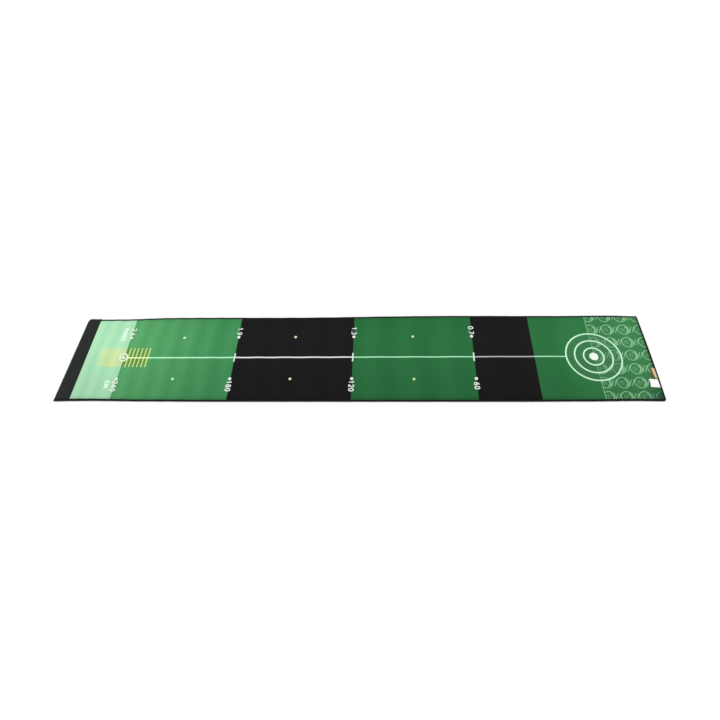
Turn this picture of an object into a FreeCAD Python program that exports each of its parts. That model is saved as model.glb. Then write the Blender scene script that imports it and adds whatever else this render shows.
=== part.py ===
import FreeCAD, Part
import math
import os

# A roll-out practice putting mat, laid flat on the floor. +X runs from the start end, where the
# player stands, to the target end; +Y runs from the near long edge to the far one; +Z is up.
# The origin is under the middle of the mat, on the floor. Sizes are in millimetres.

# Whole mat
mat_length = 3000.0
mat_width = 500.0
near_corner_radius = 15.0      # rounded corner at the target end, near side
far_corner_radius = 6.0        # rounded corner at the target end, far side
edge_fit = 0.1                 # gap left between a sheet's edge and what is folded round it

# The two sheets that are bonded together
rubber_thickness = 2.0
cloth_thickness = 1.5          # woven base and standing pile
pile_pinch = 0.3               # how far a seam flattens the pile

# Edge binding: one folded tape, sewn on in three runs
tape_thickness = 0.5
side_tape_width = 9.5
end_tape_width = 7.0
seam_inset = 2.0               # from a binding's inner edge to its row of stitches
thread_width = 0.7
thread_height = 0.25

# Band folded round the start end, with a flat stiffener inside it
band_width = 72.0
band_cloth = 0.6
band_hem = 6.0                 # flat margin that is sewn down on the mat
band_slope = 6.0               # run of cloth that climbs from the margin to the stiffener
band_corner_radius = 18.0      # rounded corner on the far side
band_end_seam_inset = 4.0      # from the far edge to the seam that closes the band
stiffener_thickness = 1.2
stiffener_gap = 2.0            # play round the stiffener inside the band
stiffener_end_gap = 20.0       # from the mat's edges to the stiffener's ends

# Flaps that are caught in the seam of the target end
flap_lift = 0.1                # rest height of a flap above the binding
flap_root_gap = 0.3            # from the binding's inner edge to a flap's hinge line
label_from_near_edge = 73.5
label_width = 47.0
label_length = 43.0
label_thickness = 0.4
tag_from_label = 1.0
tag_width = 60.0
tag_length = 22.0
tag_leather = 1.0
tag_loop_height = 4.0
tag_root_flat = 4.0            # where the tag's two layers are pressed together

start_x = -mat_length / 2
target_x = mat_length / 2
near_y = -mat_width / 2
far_y = mat_width / 2
inner_band_x = start_x + band_width

pinched_top = rubber_thickness + cloth_thickness - pile_pinch
cloth_top = rubber_thickness + cloth_thickness
tape_top = pinched_top + tape_thickness
hem_top = pinched_top + band_cloth
band_top = pinched_top + stiffener_thickness + band_cloth
band_nose = band_top / 2       # the band's fold is a half round
hem_start_x = inner_band_x - band_hem
slope_start_x = hem_start_x - band_slope
tag_near_y = near_y + label_from_near_edge + label_width + tag_from_label
hinge_x = target_x - end_tape_width - flap_root_gap

# X at which each long run of binding meets the run that goes round the target end
near_run_end = target_x - max(near_corner_radius, end_tape_width)
far_run_end = target_x - max(far_corner_radius, end_tape_width)


def outline(x0, x1, y0, y1, near_target=0.0, far_target=0.0, far_start=0.0):
    """The face of a rectangle seen from above, three of whose corners may be rounded."""
    corners = [(x0, y0, 0.0), (x1, y0, near_target), (x1, y1, far_target), (x0, y1, far_start)]
    points = [FreeCAD.Vector(x, y, 0) for x, y, radius in corners]
    edges = []
    last = None
    first = None
    for i, (x, y, radius) in enumerate(corners):
        to_previous = (points[i - 1] - points[i]).normalize()
        to_next = (points[(i + 1) % 4] - points[i]).normalize()
        before = points[i] + to_previous * radius
        after = points[i] + to_next * radius
        if first is None:
            first = before
        else:
            edges.append(Part.LineSegment(last, before).toShape())
        if radius > 0:
            centre = points[i] + (to_previous + to_next) * radius
            middle = centre - (to_previous + to_next) * (radius / math.sqrt(2))
            edges.append(Part.Arc(before, middle, after).toShape())
        last = after
    edges.append(Part.LineSegment(last, first).toShape())
    return Part.Face(Part.Wire(edges))


def slab(face, z0, z1):
    """A face seen from above, made solid between two heights."""
    solid = face.extrude(FreeCAD.Vector(0, 0, z1 - z0))
    solid.translate(FreeCAD.Vector(0, 0, z0))
    return solid


def block(x0, x1, y0, y1, z0, z1):
    """A box between two corners."""
    return Part.makeBox(x1 - x0, y1 - y0, z1 - z0, FreeCAD.Vector(x0, y0, z0))


def mat_outline(inset, first_x=start_x):
    """The mat's outline, moved in by inset on its two long edges and at its target end."""
    return outline(first_x, target_x - inset, near_y + inset, far_y - inset,
                   near_target=max(near_corner_radius - inset, 0.0),
                   far_target=max(far_corner_radius - inset, 0.0))


def window_outline(grow, first_x=start_x):
    """The edge of the cloth that the binding leaves open, moved out by grow."""
    near_radius = max(near_corner_radius - end_tape_width, 0.0)
    far_radius = max(far_corner_radius - end_tape_width, 0.0)
    return outline(first_x, target_x - end_tape_width + grow,
                   near_y + side_tape_width - grow, far_y - side_tape_width + grow,
                   near_target=max(near_radius + grow, 0.0),
                   far_target=max(far_radius + grow, 0.0))


def mat_sheet(z0, z1, tape_z0, tape_z1, band_z0, band_z1):
    """One sheet of the mat: full height in the open, pinched in its binding and in the band."""
    open_part = slab(window_outline(-edge_fit, inner_band_x + edge_fit), z0, z1)
    bound_rim = slab(mat_outline(tape_thickness + edge_fit, inner_band_x + edge_fit), tape_z0, tape_z1)
    in_band = outline(start_x + band_nose, inner_band_x + edge_fit,
                      near_y + tape_thickness + edge_fit, far_y - band_cloth - edge_fit,
                      far_start=band_corner_radius)
    return open_part.fuse([bound_rim, slab(in_band, band_z0, band_z1)]).removeSplitter()


def band_profile(grow):
    """The band's outer section in the XZ plane, moved out by grow on its top and inner edge."""
    top = band_top + grow
    hem = hem_top + grow
    # a moved-out slope is met where its two neighbours are moved out by the same amount
    lean = math.atan2(band_top - hem_top, band_slope) / 2
    shift = grow * math.tan(lean)
    fold = [FreeCAD.Vector(start_x + band_nose, 0, 0),
            FreeCAD.Vector(start_x, 0, band_nose),
            FreeCAD.Vector(start_x + band_nose, 0, band_top)]
    outer = [(start_x + band_nose, top), (slope_start_x + shift, top), (hem_start_x + shift, hem),
             (inner_band_x + grow, hem), (inner_band_x + grow, 0)]
    points = [FreeCAD.Vector(x, 0, z) for x, z in outer] + [fold[0]]
    edges = [Part.Arc(*fold).toShape()]
    if grow > 0:
        edges.append(Part.LineSegment(fold[2], points[0]).toShape())
    for a, b in zip(points, points[1:]):
        edges.append(Part.LineSegment(a, b).toShape())
    return Part.Face(Part.Wire(edges))


def along_y(face, y0, y1):
    """A face in the XZ plane, made solid between two Y values."""
    solid = face.extrude(FreeCAD.Vector(0, y1 - y0, 0))
    solid.translate(FreeCAD.Vector(0, y0, 0))
    return solid


def over_band(low, high, y0, y1, z_from):
    """The strip that lies over the band's top and steps down off its inner edge to z_from."""
    strip = along_y(band_profile(high), y0, y1).cut(along_y(band_profile(low), y0, y1))
    room = block(start_x + band_nose, inner_band_x + high + 1, y0, y1, z_from, band_top + high + 1)
    return strip.common(room)


def playing_surface():
    return mat_sheet(rubber_thickness, cloth_top, rubber_thickness, pinched_top,
                     rubber_thickness, pinched_top)


def rubber_backing():
    return mat_sheet(0, rubber_thickness, tape_thickness, rubber_thickness,
                     band_cloth, rubber_thickness)


def binding_tape():
    """The folded tape on three sides of the mat, from the band's inner edge round the target end."""
    folded = slab(mat_outline(0, inner_band_x), 0, tape_top)
    held_edge = slab(mat_outline(tape_thickness, inner_band_x), tape_thickness, pinched_top)
    window = slab(window_outline(0, inner_band_x), 0, tape_top)
    return folded.cut(held_edge).cut(window)


def binding_stitches():
    """The row of stitches on the binding's top."""
    outside = slab(window_outline(seam_inset + thread_width / 2, inner_band_x), tape_top,
                   tape_top + thread_height)
    inside = slab(window_outline(seam_inset - thread_width / 2, inner_band_x), tape_top,
                  tape_top + thread_height)
    return outside.cut(inside)


def three_runs(ring):
    """A ring round the mat, cut into its near run, its far run and the rounded target end."""
    room = mat_width
    near_side = block(start_x, near_run_end, near_y - room, 0, -room, room)
    far_side = block(start_x, far_run_end, 0, far_y + room, -room, room)
    return ring.common(near_side), ring.common(far_side), ring.cut([near_side, far_side])


def near_tape_over_band():
    """The near binding's first stretch: a wall on the band's end and a flap over its top."""
    wall = along_y(band_profile(0), near_y, near_y + tape_thickness)
    flap = over_band(0, tape_thickness, near_y, near_y + side_tape_width, pinched_top)
    return wall.fuse(flap)


def near_stitches_over_band():
    middle = near_y + side_tape_width - seam_inset
    return over_band(tape_thickness, tape_thickness + thread_height,
                     middle - thread_width / 2, middle + thread_width / 2, tape_top)


def start_end_band():
    """Cloth folded round the mat's end: closed at the fold and at the far side."""
    near_end = near_y + tape_thickness + edge_fit
    plan = outline(start_x, inner_band_x, near_end, far_y, far_start=band_corner_radius)
    outer = along_y(band_profile(0), near_end, far_y).common(slab(plan, 0, band_top))
    inner_nose = band_nose - band_cloth
    x0 = start_x + band_cloth
    x1 = inner_band_x
    lean = math.atan2(band_top - hem_top, band_slope) / 2
    shift = band_cloth * math.tan(lean)
    roof = band_top - band_cloth
    points = [(x0 + inner_nose, roof), (slope_start_x - shift, roof), (hem_start_x - shift, pinched_top),
              (x1, pinched_top), (x1, band_cloth), (x0 + inner_nose, band_cloth)]
    corners = [FreeCAD.Vector(x, 0, z) for x, z in points]
    fold = Part.Arc(corners[-1], FreeCAD.Vector(x0, 0, band_nose), corners[0]).toShape()
    edges = [fold] + [Part.LineSegment(a, b).toShape() for a, b in zip(corners, corners[1:])]
    hollow = along_y(Part.Face(Part.Wire(edges)), near_end, far_y - band_cloth)
    hollow_plan = outline(x0, x1, near_end, far_y - band_cloth,
                          far_start=band_corner_radius - band_cloth)
    return outer.cut(hollow.common(slab(hollow_plan, 0, band_top)))


def start_end_stiffener():
    return block(start_x + band_nose + stiffener_gap, slope_start_x - stiffener_gap,
                 near_y + stiffener_end_gap, far_y - stiffener_end_gap,
                 pinched_top, pinched_top + stiffener_thickness)


def band_inner_stitches():
    middle = inner_band_x - band_hem / 2
    return block(middle - thread_width / 2, middle + thread_width / 2,
                 near_y + side_tape_width + edge_fit, far_y - band_end_seam_inset,
                 hem_top, hem_top + thread_height)


def band_end_stitches():
    middle = far_y - band_end_seam_inset
    return block(start_x + band_corner_radius, slope_start_x,
                 middle - thread_width / 2, middle + thread_width / 2,
                 band_top, band_top + thread_height)


def care_label():
    """A folded cloth label, lying on the mat from its hinge line inwards."""
    low = tape_top + flap_lift
    first_y = near_y + label_from_near_edge
    return block(hinge_x - label_length, hinge_x, first_y, first_y + label_width,
                 low, low + label_thickness)


def edge_tag():
    """A strip folded back on itself into a flat loop, both ends held in the seam."""
    low = tape_top + flap_lift
    fold_radius = tag_loop_height / 2
    fold_x = hinge_x - tag_length
    pressed_x = hinge_x - tag_root_flat

    def loop(thickness, closing):
        """The loop's section, moved in by thickness, and closed by the given points."""
        start = FreeCAD.Vector(fold_x + fold_radius, 0, low + thickness)
        tip = FreeCAD.Vector(fold_x + thickness, 0, low + fold_radius)
        end = FreeCAD.Vector(fold_x + fold_radius, 0, low + tag_loop_height - thickness)
        path = [end] + [FreeCAD.Vector(x, 0, z) for x, z in closing] + [start]
        edges = [Part.Arc(start, tip, end).toShape()]
        edges += [Part.LineSegment(a, b).toShape() for a, b in zip(path, path[1:])]
        return Part.Face(Part.Wire(edges))

    root_top = low + 2 * tag_leather
    outside = loop(0, [(pressed_x, root_top), (hinge_x, root_top), (hinge_x, low)])
    inside = loop(tag_leather, [(pressed_x, low + tag_leather)])
    return along_y(outside.cut(inside), tag_near_y, tag_near_y + tag_width)


def save(name, shape):
    """Write one piece, and say how large it is and that it is sound."""
    solids = shape.Solids
    shape = solids[0] if len(solids) == 1 else Part.makeCompound(solids)
    shape.exportStep("parts/" + name + ".step")
    box = shape.BoundBox
    print(f"{name:28s} {len(solids)} solid(s) valid={shape.isValid()} volume={shape.Volume:12.1f} "
          f"x {box.XMin:9.2f} {box.XMax:9.2f}  y {box.YMin:8.2f} {box.YMax:8.2f}  "
          f"z {box.ZMin:5.2f} {box.ZMax:5.2f}")


os.makedirs("parts", exist_ok=True)

near_run, far_binding, end_binding = three_runs(binding_tape())
near_binding = near_run.fuse(near_tape_over_band()).removeSplitter()
near_stitch_run, far_stitches, end_stitches = three_runs(binding_stitches())
near_stitches = near_stitch_run.fuse(near_stitches_over_band()).cut(near_binding).removeSplitter()

save("playing_surface", playing_surface())
save("rubber_backing", rubber_backing())
save("near_edge_binding", near_binding)
save("far_edge_binding", far_binding)
save("target_end_binding", end_binding)
save("near_edge_stitching", near_stitches)
save("far_edge_stitching", far_stitches)
save("target_end_stitching", end_stitches)
save("start_end_band", start_end_band())
save("start_end_stiffener", start_end_stiffener())
save("band_inner_stitching", band_inner_stitches())
save("band_end_stitching", band_end_stitches())
save("edge_tag", edge_tag())
save("care_label", care_label())
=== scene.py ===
# %% [markdown]
# # A roll-out practice putting mat
# The real thing is a velvet cloth with its markings printed on, bonded to a rubber sheet. A
# folded tape binds three of its sides, a wide folded band closes the fourth, and two small flaps
# are caught in the seam of the target end. Each of those is a piece of its own here. Everything
# is in metres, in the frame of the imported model: +X runs from the start end, where the player
# stands, to the target end, +Y runs from the near long edge to the far one, and +Z is up.

import math

import bpy
import numpy as np
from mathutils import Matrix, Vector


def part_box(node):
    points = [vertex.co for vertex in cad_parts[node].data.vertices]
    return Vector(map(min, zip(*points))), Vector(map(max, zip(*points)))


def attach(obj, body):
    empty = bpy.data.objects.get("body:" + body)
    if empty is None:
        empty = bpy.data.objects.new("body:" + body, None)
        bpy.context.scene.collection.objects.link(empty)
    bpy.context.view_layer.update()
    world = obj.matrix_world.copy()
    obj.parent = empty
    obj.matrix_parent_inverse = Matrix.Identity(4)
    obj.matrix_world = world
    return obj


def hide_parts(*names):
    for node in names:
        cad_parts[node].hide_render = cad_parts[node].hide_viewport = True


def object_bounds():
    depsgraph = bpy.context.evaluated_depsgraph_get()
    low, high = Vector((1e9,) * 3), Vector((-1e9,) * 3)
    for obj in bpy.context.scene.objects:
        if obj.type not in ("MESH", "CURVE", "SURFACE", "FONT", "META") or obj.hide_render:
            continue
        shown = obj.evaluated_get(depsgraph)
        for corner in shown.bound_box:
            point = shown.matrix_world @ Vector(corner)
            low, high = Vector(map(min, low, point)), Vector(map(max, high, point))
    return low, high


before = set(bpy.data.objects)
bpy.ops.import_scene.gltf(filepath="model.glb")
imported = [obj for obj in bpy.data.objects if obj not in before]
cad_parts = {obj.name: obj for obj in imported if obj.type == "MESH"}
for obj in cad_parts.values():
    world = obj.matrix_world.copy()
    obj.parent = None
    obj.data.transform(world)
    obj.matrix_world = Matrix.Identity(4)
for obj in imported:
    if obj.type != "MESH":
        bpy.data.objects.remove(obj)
cad_low, cad_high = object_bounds()
MM = 0.001
START, TARGET = cad_low.x, cad_high.x
NEAR, FAR = cad_low.y, cad_high.y

# %% [markdown]
# ## Heights and widths that the pieces share
# Seams press the cloth down, and each layer lies on the one below, so most heights belong to
# several pieces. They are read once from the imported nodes, and no piece repeats them.

# %% Shared heights and widths
cloth_low, cloth_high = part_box("playing_surface")
far_low, far_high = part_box("far_edge_binding")
band_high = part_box("start_end_band")[1]
stiff_low, stiff_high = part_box("start_end_stiffener")
hem_low, hem_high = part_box("band_inner_stitching")
tag_low, tag_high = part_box("edge_tag")
label_low, label_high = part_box("care_label")

CLOTH_TOP = cloth_high.z
RUBBER_TOP = cloth_low.z
PINCHED = stiff_low.z
TAPE_TOP = far_high.z
TAPE = TAPE_TOP - PINCHED
BAND_TOP = band_high.z
BAND_EDGE = band_high.x
HEM_TOP = hem_low.z
SIDE_TAPE = far_high.y - far_low.y
END_TAPE = TARGET - tag_high.x - 0.3 * MM
NEAR_RADIUS = 15 * MM
FAR_RADIUS = 6 * MM
BAND_RADIUS = 18 * MM
BAND_TURN = 30 * MM   # length of the band's rounded corner along Y, longer than its depth along X
heights = {"cloth": CLOTH_TOP, "pinched": PINCHED, "tape": TAPE_TOP, "band": BAND_TOP, "sewn margin": HEM_TOP}
print("heights in mm:", {name: round(height / MM, 2) for name, height in heights.items()})


def along(distance):
    """The X of a place so many millimetres from the start end."""
    return START + np.asarray(distance, float) * MM


def across(distance):
    """The Y of a place so many millimetres from the near edge."""
    return NEAR + np.asarray(distance, float) * MM


def ease(t):
    """Goes from 0 to 1 as t does, level at both ends: three times t squared, less twice its cube."""
    t = np.clip(t, 0.0, 1.0)
    return t * t * (3 - 2 * t)


def fading(inside, reach):
    """1 at an edge, eased down to 0 at a place so many millimetres inside it."""
    return ease(1 - inside / (reach * MM))


MIDDLE = across(250)
TARGET_X, TARGET_Y = along(2716), across(249)


# %% [markdown]
# ## The waves of the roll
# The mat is stored rolled up, so it never lies quite flat: each turn of the roll leaves a low
# wave. The turns get longer from the core outwards, so the waves are close together at the
# start end and wide apart at the target end. Spacing that grows evenly with distance means that
# the count of waves is a logarithm. One height function carries every layer, so that the
# cloth, tape, thread and print all rise and fall together.

# %% Height of the waves
FIRST_TURN = 62.0     # mm from one crest to the next at the start end
TURN_GROWTH = 0.0739  # what that distance gains with each millimetre
TURN_SHIFT = 2.331    # where the first crest falls, counted in waves
FLAT_START, FLAT_TARGET = 74, 2975   # mm: before the one and past the other the mat lies flat
WAVE_HEIGHT = 1.25 * MM
WAVE_LOSS = 0.22 * MM         # what each metre takes off that height
BOW = 0.07                    # how far a wave bows across the mat, as a share of a wave
BOW_RATE, BOW_SHIFT = 8.5, 1.1   # the angle of that bow: its growth per metre across, and its start
LEAN_NEAR, LEAN_FAR = 2.0 * MM, -5.0 * MM   # the band's inner edge, sewn out of square
LET_OUT_START, LET_OUT_TARGET = 2.8 * MM, 1.8 * MM
PRESSED_WIDTH = 7 * MM        # of pile beside a seam


def turns(x):
    """Waves counted up to x: the logarithm of 1 plus growth times distance over the first spacing."""
    distance = (x - START) / MM
    return np.log1p(TURN_GROWTH * np.maximum(distance, 0) / FIRST_TURN) / TURN_GROWTH - TURN_SHIFT


def lift(x, y):
    """Height of the mat above the floor: a sine of the wave count, bowed a little across the mat.

    It dies out at the band and at the target end, which lie flat.
    """
    distance = (x - START) / MM
    size = WAVE_HEIGHT - WAVE_LOSS * (x - START)
    held = ease((distance - FLAT_START) / 60) * ease((FLAT_TARGET - distance) / 90)
    bow = BOW * np.sin(BOW_RATE * y + BOW_SHIFT) + 0.04 * np.sin(21 * y + 3 * x)
    return size * held * (0.5 + 0.5 * np.sin(2 * np.pi * (turns(x) + bow)))


def band_lean(y):
    """How far the band's inner edge stands out at y, even from its near end to its far one."""
    return LEAN_NEAR + (LEAN_FAR - LEAN_NEAR) * (y - NEAR) / (FAR - NEAR)


def near_width(x):
    """Width of the near tape at x. Its fold was let out a little at both ends."""
    distance = (x - START) / MM
    let_out = LET_OUT_START * ease((450 - distance) / 380) + LET_OUT_TARGET * ease((distance - 2450) / 500)
    return SIDE_TAPE + let_out


def cloth_top(x, y):
    """Height of the pile: full in the open, eased down to the pinched height at the seams."""
    inside = np.minimum.reduce([y - NEAR - near_width(x), FAR - SIDE_TAPE - y,
                                TARGET - END_TAPE - x, x - BAND_EDGE - band_lean(y)])
    return PINCHED + (CLOTH_TOP - PINCHED) * ease(inside / PRESSED_WIDTH) + lift(x, y)


sample = along(np.linspace(80, 2950, 2000))
print("waves:", round(float(turns(sample[-1]) - turns(sample[0])), 1),
      " highest, mm:", round(float(lift(sample, 0).max()) / MM, 2))

# %% [markdown]
# ## A mat is never quite square
# Cloth that is cut, bound and rolled up stretches a little along some edges and is drawn in along
# others. One more function moves every finished point by a few millimetres, at each edge and
# less and less inwards, so that cloth, tape, thread and print stay together here too.

# %% How the mat has settled
FAR_BOW, FAR_CURL = 4.8 * MM, 3.0 * MM
START_BULGE = 4.4 * MM
DRAWN_START, DRAWN_TARGET = 2.8 * MM, 2.4 * MM   # the near edge, beside its two corners
NEAR_BOW = 1.5 * MM                              # and between them


def settled(points):
    """The points moved to where the mat's edges have gone.

    The far edge bows out and curls up by held, which is 0 at both ends and 1 between, with one slow
    wave on top. The near edge is drawn in beside both corners and bows out between them. The start
    end bulges out all the way across.
    """
    x, y, z = np.moveaxis(points, -1, 0)
    distance = (x - START) / MM
    held = ease((distance - 200) / 260) * ease((2985 - distance) / 150)
    held = held * (1 + 0.38 * np.sin(2 * np.pi * (distance - 1530) / 1500) * ease(distance / 1300))
    drawn_in = DRAWN_START * ease(1 - abs(distance - 190) / 290)
    drawn_in = drawn_in + DRAWN_TARGET * ease(1 - abs(distance - 2850) / 230)
    drawn_in = drawn_in - NEAR_BOW * ease((distance - 480) / 300) * ease((2600 - distance) / 300)
    out = FAR_BOW * held * fading(FAR - y, 110) + drawn_in * fading(y - NEAR, 70)
    up = FAR_CURL * held * fading(FAR - y, 75)
    return np.stack([x - START_BULGE * fading(x - START, 45), y + out, z + up], -1)


edge = np.stack([sample, np.full_like(sample, FAR), np.zeros_like(sample)], -1)
print("far edge out by up to", round(float((settled(edge) - edge)[:, 1].max()) / MM, 1), "mm")

# %% [markdown]
# ## From grids to pieces
# Nearly every piece here is a strip: a section carried along a path. The section is a closed
# loop of points, outer side first and inner side back, so the loop's halves face each other
# and a strip of quads between them closes each end. `Work` gathers such grids into one mesh. For
# long pieces it also lays the strip out in rows, like lines of text, so that a square texture
# holds three metres of tape without stretching it.

# %% The mesh builder


def quads(rows, columns, wrap_rows, wrap_columns):
    """Corner numbers of a grid's faces, counted row by row, and the grid place of each corner."""
    r, c = np.meshgrid(np.arange(rows - (not wrap_rows)), np.arange(columns - (not wrap_columns)),
                       indexing="ij")
    rr = np.stack([r, r + 1, r + 1, r], -1).reshape(-1, 4)
    cc = np.stack([c, c, c + 1, c + 1], -1).reshape(-1, 4)
    return (rr % rows) * columns + cc % columns, rr, cc


def both_sides(outer, inner):
    """A closed section at each station: along the outer side and back along the inner one."""
    return np.concatenate([outer, inner[:, ::-1]], 1)


def placed(name, data):
    """A new object, put in the scene."""
    made = bpy.data.objects.new(name, data)
    bpy.context.scene.collection.objects.link(made)
    return made


class Work:
    """The grids of one piece: points, faces, texture places and thread coordinates."""

    def __init__(self):
        self.points, self.faces, self.places, self.threads = [], [], [], []
        self.count = 0

    def grid(self, points, ring=False, rows=0):
        """Adds points, shaped (stations, section, 3). The section is a closed loop.

        ring joins the last station to the first, and rows is how many rows of the texture the
        strip fills.
        """
        n, m, _ = points.shape
        faces, r, c = quads(n, m, ring, True)
        step = np.linalg.norm(np.diff(points[:, :1], axis=0), axis=2)
        run = np.concatenate([[0], np.cumsum(step[:, 0])])
        girth = np.linalg.norm(np.diff(points[n // 2], axis=0), axis=1)
        turn = np.concatenate([[0], np.cumsum(girth)])
        self.threads.append(np.stack([np.repeat(run, m), np.tile(turn, n), np.zeros(n * m)], -1))
        if rows:
            self.places.append(self.lines_of_text(r, c, n, m, run, rows))
        self.faces += (faces + self.count).tolist()
        if not ring:
            half = np.arange(m // 2 - 1)
            lid = np.stack([half, half + 1, m - 2 - half, m - 1 - half], -1)
            for k, start in enumerate((0, (n - 1) * m)):
                self.faces += (lid + start + self.count).tolist()
                if rows:
                    u = 0.01 + 0.4 * k + 0.35 * half / m
                    square = np.stack([u, u + 0.3 / m, u + 0.3 / m, u], -1)
                    level = np.broadcast_to([0.990, 0.990, 0.998, 0.998], square.shape)
                    self.places.append(np.stack([square, level], -1).reshape(-1, 2))
        self.points.append(points.reshape(-1, 3))
        self.count += n * m

    @staticmethod
    def lines_of_text(r, c, n, m, run, rows):
        """Each face corner's place on the texture, with the strip cut into rows stacked upwards."""
        per_row = -(-(n - 1) // rows)
        row = np.minimum(r[:, :1] // per_row, rows - 1)
        first = run[row * per_row]
        last = run[np.minimum((row + 1) * per_row, n - 1)]
        u = 0.002 + 0.996 * (run[np.minimum(r, n - 1)] - first) / (last - first)
        v = 0.985 * (row + 0.02 + 0.96 * c / m) / rows
        return np.stack([u, v], -1).reshape(-1, 2)

    def copies(self, points, faces, thread):
        """Adds the same small closed shape many times: points are shaped (copies, points, 3).

        Each copy gets a square of its own on the texture, and thread is its own (u, v) from 0 to 1.
        """
        n, m, _ = points.shape
        side = math.ceil(math.sqrt(n))
        corners = np.array(faces)
        shape = thread[corners]
        cell = np.stack([np.arange(n) % side, np.arange(n) // side], -1)
        self.places.append(((cell[:, None, None] + 0.06 + 0.88 * shape[None]) / side).reshape(-1, 2))
        self.faces += (corners[None] + (np.arange(n) * m)[:, None, None] + self.count).reshape(-1, 4).tolist()
        self.threads.append(np.concatenate([np.tile(thread, (n, 1)), np.repeat(np.arange(n), m)[:, None]], 1))
        self.points.append(points.reshape(-1, 3))
        self.count += n * m

    def piece(self, name, finish, body="mat", slot=None, stands_for=(), sharp=50):
        """Makes the mesh, merges doubled points, turns its faces outwards and puts it on its body."""
        mesh = bpy.data.meshes.new(name)
        mesh.from_pydata(settled(np.concatenate(self.points)).tolist(), [], self.faces)
        thread = mesh.attributes.new("thread", "FLOAT_VECTOR", "POINT")
        thread.data.foreach_set("vector", np.concatenate(self.threads).astype(np.float32).ravel())
        if self.places:
            layer = mesh.uv_layers.new(name="OFBake")
            layer.data.foreach_set("uv", np.concatenate(self.places).astype(np.float32).ravel())
        tidy(mesh)
        mesh.shade_smooth()
        mesh.set_sharp_from_angle(angle=math.radians(sharp))
        made = placed(name, mesh)
        mesh.materials.append(finish)
        if stands_for:
            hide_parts(*stands_for)
        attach(made, body)
        size = [round(v / MM, 1) for v in made.dimensions]
        print(f"{name}: {len(mesh.polygons)} faces, {size} mm")
        return made


def tidy(mesh):
    """Joins points that fall together, drops faces that shrink to nothing, and faces the rest out."""
    import bmesh

    work = bmesh.new()
    work.from_mesh(mesh)
    bmesh.ops.remove_doubles(work, verts=work.verts, dist=2e-7)
    bmesh.ops.dissolve_degenerate(work, dist=1e-7, edges=work.edges)
    bmesh.ops.recalc_face_normals(work, faces=work.faces)
    work.to_mesh(mesh)
    work.free()


def strip(name, points, finish, rows=0, **says):
    """A piece made of one grid."""
    work = Work()
    work.grid(points, rows=rows)
    return work.piece(name, finish, **says)


# %% [markdown]
# ## Writing shaders as expressions
# A finish is a material. `Value` wraps one socket, so that sums written in Python become Math
# nodes, and `Finish.node` makes any other node. Colours are given as they should look to the
# eye, and `paint` turns them into the share of light that the surface gives back.

# %% Finishes
ROOM_LIGHT = 1.12     # how bright a white card lying on the floor would be


def paint(red, green, blue):
    """A colour as it should look, 0 to 255, made linear and divided by the light that falls on it."""
    c = np.array([red, green, blue]) / 255
    linear = np.where(c <= 0.04045, c / 12.92, ((c + 0.055) / 1.055) ** 2.4)
    return (*(float(v) for v in linear / ROOM_LIGHT), 1.0)


class Value:
    """A number or colour on its way through a finish's nodes."""

    def __init__(self, finish, socket):
        self.finish = finish
        self.socket = socket

    def math(self, operation, *others):
        inputs = dict(enumerate((self,) + others))
        return self.finish.node("ShaderNodeMath", {"operation": operation}, inputs)

    def __add__(self, other):
        return self.math("ADD", other)

    def __sub__(self, other):
        return self.math("SUBTRACT", other)

    def __mul__(self, other):
        return self.math("MULTIPLY", other)

    def __truediv__(self, other):
        return self.math("DIVIDE", other)

    def __rsub__(self, other):
        return self * -1.0 + other

    def __gt__(self, other):
        return self.math("GREATER_THAN", other)

    def __lt__(self, other):
        return self.math("LESS_THAN", other)

    __radd__ = __add__
    __rmul__ = __mul__

    def between(self, low, high):
        """0 below low, 1 above high, and even in between."""
        return ((self - low) / (high - low)).math("MINIMUM", 1.0).math("MAXIMUM", 0.0)

    def wave(self, length):
        """A sine that comes round again each length."""
        return (self * (2 * math.pi / length)).math("SINE")


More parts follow.
